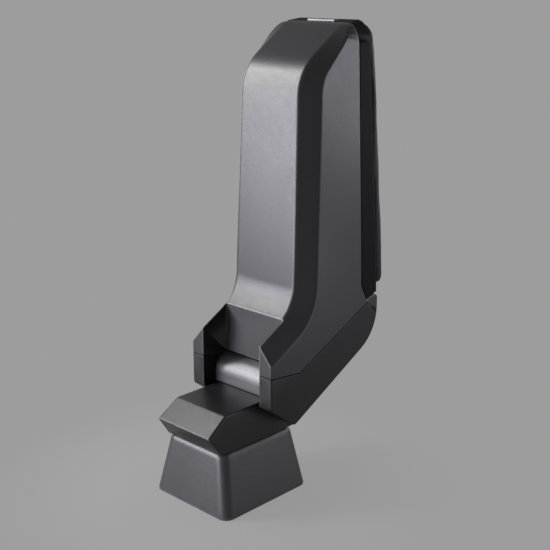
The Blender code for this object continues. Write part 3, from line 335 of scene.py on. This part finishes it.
# Zinc-plated steel. The colour is a pale grey that differs a little from cell to cell, as the
# plating's crystals do, and darker where a noise is high. The relief is a noise drawn out to lines.
def platedSteel(look):
    base = look["base"]
    finish = Finish("zincSteel")
    place = finish.place()
    bloom = finish.node("ShaderNodeSeparateColor", sockets={
        "Color": finish.cells("F1", place, look["bloomScale"], out="Color")})
    lines = finish.noise(finish.stretched(place, look["lineStretch"]), look["lineScale"], detail=4.0)
    stains = finish.node("ShaderNodeValToRGB", {"stops": look["stainStops"]}, {
        "Fac": finish.noise(place, look["stainScale"], detail=6.0, roughness=0.66)})
    plated = finish.blendColour(bloom * look["bloomShare"], colour(base, look["dark"]),
                                colour(base, look["pale"]))
    finish.put({
        "Base Color": finish.blendColour(stains * look["stainShare"], plated,
                                         colour(base, look["stainShade"])),
        "Roughness": (look["roughness"] + (lines - 0.5) * look["lineRough"]
                      + stains * look["stainRough"]),
        "Normal": finish.bump(lines, look["lineStrength"], look["lineDeep"]), "Metallic": 1.0})
    return finish.material


zincSteel = platedSteel(steelLook)

silverLook = {
    "base": (0.10, 0.10, 0.104), "dark": 0.86, "pale": 1.08, "flakeScale": 5200.0,
    "flakeStrength": 0.10, "flakeDeep": 0.00002, "roughness": 0.46, "broadRough": 0.12,
    "broadScale": 90.0, "metallic": 0.92, "coat": 0.10, "coatRoughness": 0.25,
}


# Satin silver paint. The flakes are the distance to the middle of tiny cells: it darkens the
# base and gives the relief. A thin clear coat lies on top.
def silverPaint(look):
    finish = Finish("silverPaint")
    place = finish.place()
    flakes = finish.cells("F1", place, look["flakeScale"])
    broad = finish.noise(place, look["broadScale"])
    finish.put({
        "Base Color": finish.blendColour(flakes, colour(look["base"], look["pale"]),
                                         colour(look["base"], look["dark"])),
        "Roughness": look["roughness"] + (broad - 0.5) * look["broadRough"],
        "Normal": finish.bump(flakes, look["flakeStrength"], look["flakeDeep"]),
        "Metallic": look["metallic"], "Coat Weight": look["coat"],
        "Coat Roughness": look["coatRoughness"]})
    return finish.material


silverButton = silverPaint(silverLook)

nylonLook = {
    "low": (0.62, 0.60, 0.53), "high": (0.74, 0.72, 0.66), "stretch": (1.0, 1.0, 0.25),
    "scale": 240.0, "roughness": 0.40, "flowRough": 0.2, "flowStrength": 0.1, "flowDeep": 0.00005,
}


# Natural nylon: a stretched noise, like flow marks, blends two waxy colours and gives the relief.
def waxyNylon(look):
    finish = Finish("waxyNylon")
    flow = finish.noise(finish.stretched(finish.place(), look["stretch"]), look["scale"],
                        detail=4.0, distortion=1.2)
    finish.put({
        "Base Color": finish.blendColour(flow, colour(look["low"]), colour(look["high"])),
        "Roughness": look["roughness"] + (flow - 0.5) * look["flowRough"],
        "Normal": finish.bump(flow, look["flowStrength"], look["flowDeep"])})
    return finish.material


nylon = waxyNylon(nylonLook)

rubberLook = {
    "base": (0.013, 0.013, 0.013), "dust": (0.035, 0.034, 0.032), "ribScale": 120.0,
    "ribStrength": 0.8, "ribDeep": 0.0005, "dustScale": 60.0, "roughness": 0.72, "dustRough": 0.2,
}


# Rubber mat: the ribs are a sine wave of height, and a noise puts dust in their valleys.
def ribbedRubber(look):
    finish = Finish("ribbedRubber")
    place = finish.place()
    ribs = finish.node("ShaderNodeTexWave", {
        "wave_type": "BANDS", "bands_direction": "Z", "wave_profile": "SIN"},
        {"Vector": place, "Scale": look["ribScale"]}, out="Fac")
    dust = finish.noise(place, look["dustScale"], detail=5.0, roughness=0.7)
    finish.put({
        "Base Color": finish.blendColour(dust * (1 - ribs), colour(look["base"]), colour(look["dust"])),
        "Roughness": look["roughness"] + (dust - 0.5) * look["dustRough"],
        "Normal": finish.bump(ribs, look["ribStrength"], look["ribDeep"])})
    return finish.material


matRubber = ribbedRubber(rubberLook)
print("materials made")

# Lengths in metres, angles in degrees
copyShape = {"merge": 0.000002, "flat": 0.25, "turn": 28.0, "segments": 2, "profile": 0.5,
             "evenWeight": 60}


# Visible copy of a CAD node: its loose triangles are merged and flat areas become whole faces.
# Where an edge size is given, each edge that turns by more than "turn" is rounded by it.
def fineCopy(node, material, slotName, edge, shape):
    source = cadNodes[node]
    turn = math.radians(shape["turn"])
    bm = bmesh.new()
    bm.from_mesh(source.data)
    bmesh.ops.remove_doubles(bm, verts=bm.verts, dist=shape["merge"])
    bmesh.ops.dissolve_limit(bm, angle_limit=math.radians(shape["flat"]), verts=bm.verts, edges=bm.edges)
    if edge:
        sharp = [e for e in bm.edges if len(e.link_faces) == 2 and e.calc_face_angle(0.0) > turn]
        bmesh.ops.bevel(bm, geom=sharp, offset=edge, offset_type="OFFSET", segments=shape["segments"],
                        profile=shape["profile"], affect="EDGES", clamp_overlap=True)
    bmesh.ops.triangulate(bm, faces=[f for f in bm.faces if len(f.verts) > 4])
    mesh = bpy.data.meshes.new(node + "_fine")
    bm.to_mesh(mesh)
    bm.free()
    mesh.shade_smooth()
    mesh.set_sharp_from_angle(angle=turn)
    piece = bpy.data.objects.new(node + "_fine", mesh)
    bpy.context.scene.collection.objects.link(piece)
    mesh.materials.append(material)
    weighted = piece.modifiers.new("evenShading", "WEIGHTED_NORMAL")
    weighted.keep_sharp = True
    weighted.weight = shape["evenWeight"]
    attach(piece, source["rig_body"])
    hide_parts(node)
    return piece


# Each node's material, slot and edge size in metres; 0 leaves the edges as they are.
nodeFinishes = {
    "tray_shell": (bodyPlastic, "body_plastic", 0.0),
    "hinge_cover": (coverPlastic, "cover_plastic", 0.0),
    "lid_base": (rimPlastic, "cover_plastic", 0.0),
    "lid_panel": (rimPlastic, "cover_plastic", 0.0003),
    "hinge_head": (headPlastic, "cover_plastic", 0.0),
    "hinge_barrel": (barrelPlastic, "cover_plastic", 0.0),
    "column_shell": (footPlastic, "foot_plastic", 0.0014),
    "latch_button": (silverButton, "silver_button", 0.0),
    "latch_hook": (nylon, "nylon", 0.0002),
    "bin_mat": (matRubber, "rubber", 0.0003),
}


# Bushes and washers are nylon, and whatever else the table leaves out is plated steel.
def finishFor(node):
    if node in nodeFinishes:
        return nodeFinishes[node]
    if node.startswith(("barrel_bush", "friction_washer")):
        return nylon, "nylon", 0.0002
    if node.startswith("latch_spring"):
        return zincSteel, "zinc_steel", 0.0
    return zincSteel, "zinc_steel", 0.0003


for nodeName in sorted(cadNodes):
    if nodeName != "lid_pad":
        finePiece = fineCopy(nodeName, *finishFor(nodeName), copyShape)
    if nodeName.startswith("latch_spring"):
        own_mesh(finePiece)
print("fine copies made")

# Lengths in metres. "rear" is the depth of the lid base's rear face at the pad's lower and upper
# end. Within "held" of it the pad stays where it is, and over the next "fade" it comes free.
padShape = {
    "merge": 0.000002, "voxel": 0.004, "rear": (0.1136, 0.1018), "held": 0.002, "fade": 0.006,
    "pressure": 4.0, "quality": 6, "frames": 20, "cap": 0.0022, "smallest": 1e-9,
    "calm": 0.5, "calmRounds": 3, "levels": 2,
}


# A mesh's points, one row of three numbers each
def meshPoints(mesh):
    flat = np.zeros(len(mesh.vertices) * 3, np.float32)
    mesh.vertices.foreach_get("co", flat)
    return flat.reshape(-1, 3).astype(float)


# Lid pad: the CAD solid is remeshed and swollen by cloth under pressure. Each point's move is
# cut to the cap's length and multiplied by how free the point is.
def makeLidPad(shape):
    source = cadNodes["lid_pad"]
    piece = bpy.data.objects.new("lid_pad_soft", source.data.copy())
    bpy.context.scene.collection.objects.link(piece)
    bm = bmesh.new()
    bm.from_mesh(piece.data)
    bmesh.ops.remove_doubles(bm, verts=bm.verts, dist=shape["merge"])
    bm.to_mesh(piece.data)
    bm.free()
    remesh = piece.modifiers.new("even", "REMESH")
    remesh.mode = "VOXEL"
    remesh.voxel_size = shape["voxel"]
    bpy.context.view_layer.objects.active = piece
    bpy.ops.object.modifier_apply(modifier="even")
    rest = meshPoints(piece.data)
    low, high = (np.array(v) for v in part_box("lid_pad"))
    rearAt = np.interp(rest[:, 2], [low[2], high[2]], shape["rear"])
    free = np.clip((rest[:, 1] - rearAt - shape["held"]) / shape["fade"], 0, 1)
    group = piece.vertex_groups.new(name="held")
    for index, share in enumerate(1 - free):
        if share > 0:
            group.add([index], float(share), "REPLACE")
    cloth = piece.modifiers.new("swell", "CLOTH")
    cloth.settings.use_pressure = True
    cloth.settings.uniform_pressure_force = shape["pressure"]
    cloth.settings.vertex_group_mass = "held"
    cloth.settings.effector_weights.gravity = 0.0
    cloth.settings.quality = shape["quality"]
    for step in range(1, shape["frames"] + 1):
        bpy.context.scene.frame_set(step)
    graph = bpy.context.evaluated_depsgraph_get()
    swollen = meshPoints(piece.evaluated_get(graph).to_mesh())
    piece.modifiers.remove(cloth)
    bpy.context.scene.frame_set(1)
    move = swollen - rest
    length = np.linalg.norm(move, axis=1, keepdims=True)
    move = move * np.minimum(1.0, shape["cap"] / np.maximum(length, shape["smallest"])) * free[:, None]
    piece.data.vertices.foreach_set("co", (rest + move).astype(np.float32).ravel())
    print("pad swollen by up to", round(float(length.max()) * 1000, 2), "mm before the cap")
    smooth = piece.modifiers.new("calm", "SMOOTH")
    smooth.factor = shape["calm"]
    smooth.iterations = shape["calmRounds"]
    finer = piece.modifiers.new("finer", "SUBSURF")
    finer.levels = shape["levels"]
    finer.render_levels = shape["levels"]
    piece.data.materials.clear()
    piece.data.materials.append(padLeather)
    piece.data.shade_smooth()
    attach(piece, "lid")
    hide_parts("lid_pad")
    return piece


makeLidPad(padShape)
print("pad made")

# "seen" is the backdrop's grey, and "fill" the dim light that the world gives the object.
# Lengths are in metres.
backdropLook = {
    "seen": (0.337, 0.337, 0.337), "fill": (0.18, 0.18, 0.18), "floor": (0.36, 0.36, 0.36),
    "roughness": 0.9, "plain": 0.86, "from": 0.07, "to": 0.19, "size": 12.0, "below": 0.0002,
}


# Floor: a wide pale sheet that keeps the shadow. Backdrop rays see it blended with plain grey,
# by a share that grows with the distance from the object, so that no horizon shows.
def makeFloor(look):
    half = look["size"] / 2
    level = -look["below"]
    mesh = bpy.data.meshes.new("floor")
    mesh.from_pydata([(-half, -half, level), (half, -half, level), (half, half, level),
                      (-half, half, level)], [], [(0, 1, 2, 3)])
    floor = bpy.data.objects.new("floor", mesh)
    bpy.context.scene.collection.objects.link(floor)
    finish = Finish("floorPaper")
    finish.put({"Base Color": colour(look["floor"]), "Roughness": look["roughness"]})
    away = finish.node("ShaderNodeVectorMath", {"operation": "LENGTH"}, {0: finish.place()}, out="Value")
    grown = finish.ranged(away, look["from"], look["to"], look["plain"], 1.0, "SMOOTHSTEP")
    plain = finish.node("ShaderNodeEmission", sockets={"Color": colour(look["seen"]), "Strength": 1.0})
    mixed = finish.node("ShaderNodeMixShader", sockets={
        0: finish.backdropRay() * grown, 1: Wire(finish, finish.shader.outputs[0]), 2: plain})
    finish.fill(finish.tree.nodes["Material Output"].inputs["Surface"], mixed)
    mesh.materials.append(finish.material)


# World: backdrop rays meet the backdrop's grey, and all others the dim fill.
def makeWorld(look):
    world = bpy.data.worlds.new("studio")
    bpy.context.scene.world = world
    world.use_nodes = True
    nodes = Nodes(world.node_tree)
    shown = nodes.blendColour(nodes.backdropRay(), colour(look["fill"]), colour(look["seen"]))
    nodes.fill(nodes.tree.nodes["Background"].inputs["Color"], shown)


makeFloor(backdropLook)
makeWorld(backdropLook)

# Softboxes stand on a ring about the object, each facing the ring's axis: the turn in degrees
# from the front towards the right, the width in degrees, the lower and upper edge in metres and
# the radiance. Violet ones are a little cooler.
ringLook = {"radius": 0.55, "middle": (0.0, 0.05), "violet": (0.98, 0.958, 1.068), "plain": (1.0, 1.0, 1.0)}
softboxes = {
    "keyLow": {"turn": 336, "width": 10, "low": 0.01, "high": 0.16, "radiance": 18.0, "tint": "violet"},
    "keyNear": {"turn": 349, "width": 18, "low": 0.02, "high": 0.16, "radiance": 19.0, "tint": "violet"},
    "keyMiddle": {"turn": 324, "width": 9, "low": 0.1, "high": 0.31, "radiance": 29.5, "tint": "violet"},
    "keyInner": {"turn": 333, "width": 9, "low": 0.16, "high": 0.31, "radiance": 1.4, "tint": "violet"},
    "keyUpper": {"turn": 315, "width": 9, "low": 0.23, "high": 0.4, "radiance": 21.5, "tint": "plain"},
    "keyTop": {"turn": 315, "width": 9, "low": 0.4, "high": 0.62, "radiance": 32.0, "tint": "plain"},
    "keyShoulder": {"turn": 324, "width": 9, "low": 0.31, "high": 0.4, "radiance": 8.0, "tint": "plain"},
    "left": {"turn": 301.5, "width": 18, "low": 0.4, "high": 0.62, "radiance": 6.4, "tint": "plain"},
    "brow": {"turn": 301.5, "width": 18, "low": 0.62, "high": 0.78, "radiance": 36.0, "tint": "plain"},
    "rightNear": {"turn": 128, "width": 14, "low": 0.26, "high": 0.38, "radiance": 7.4, "tint": "violet"},
    "rightFar": {"turn": 149, "width": 28, "low": 0.16, "high": 0.38, "radiance": 3.3, "tint": "violet"},
    "rightHigh": {"turn": 156, "width": 14, "low": 0.38, "high": 0.52, "radiance": 3.4, "tint": "violet"},
    "rear": {"turn": 190, "width": 30, "low": 0.12, "high": 0.36, "radiance": 3.0, "tint": "plain"},
    "leftSide": {"turn": 258, "width": 30, "low": 0.10, "high": 0.40, "radiance": 3.0, "tint": "plain"},
    "rightLow": {"turn": 121, "width": 28, "low": 0.005, "high": 0.08, "radiance": 4.1, "tint": "violet"},
}


# An area lamp's power is its radiance times its area times pi.
def makeSoftbox(name, box, ring):
    turn = math.radians(box["turn"])
    height = box["high"] - box["low"]
    middle = Vector((*ring["middle"], (box["low"] + box["high"]) / 2))
    lamp = bpy.data.lights.new(name, "AREA")
    lamp.shape = "RECTANGLE"
    lamp.size = 2 * ring["radius"] * math.tan(math.radians(box["width"] / 2))
    lamp.size_y = height
    lamp.energy = box["radiance"] * lamp.size * height * math.pi
    lamp.color = ring[box["tint"]]
    holder = bpy.data.objects.new(name, lamp)
    bpy.context.scene.collection.objects.link(holder)
    outward = Vector((math.sin(turn), -math.cos(turn), 0.0))
    holder.location = middle + outward * ring["radius"]
    holder.rotation_euler = (-outward).to_track_quat("-Z", "Y").to_euler()
    holder.visible_camera = False


for boxName, boxLook in softboxes.items():
    makeSoftbox(boxName, boxLook, ringLook)

# Camera, solved from the photograph's edges: places in metres, lens and film in millimetres
cameraLook = {"at": (0.48957, -0.46455, 0.35334), "to": (0.0, 0.04525, 0.14825), "lens": 67.61,
              "film": 36.0, "near": 0.01}


def makeCamera(look):
    lens = bpy.data.cameras.new("camera")
    lens.lens = look["lens"]
    lens.sensor_width = look["film"]
    lens.clip_start = look["near"]
    camera = bpy.data.objects.new("camera", lens)
    bpy.context.scene.collection.objects.link(camera)
    camera.location = look["at"]
    aim = Vector(look["to"]) - Vector(look["at"])
    camera.rotation_euler = aim.to_track_quat("-Z", "Y").to_euler()
    bpy.context.scene.camera = camera


makeCamera(cameraLook)
bpy.context.scene.view_settings.view_transform = "Standard"
print("stage, lamps and camera made")

bpy.context.view_layer.update()
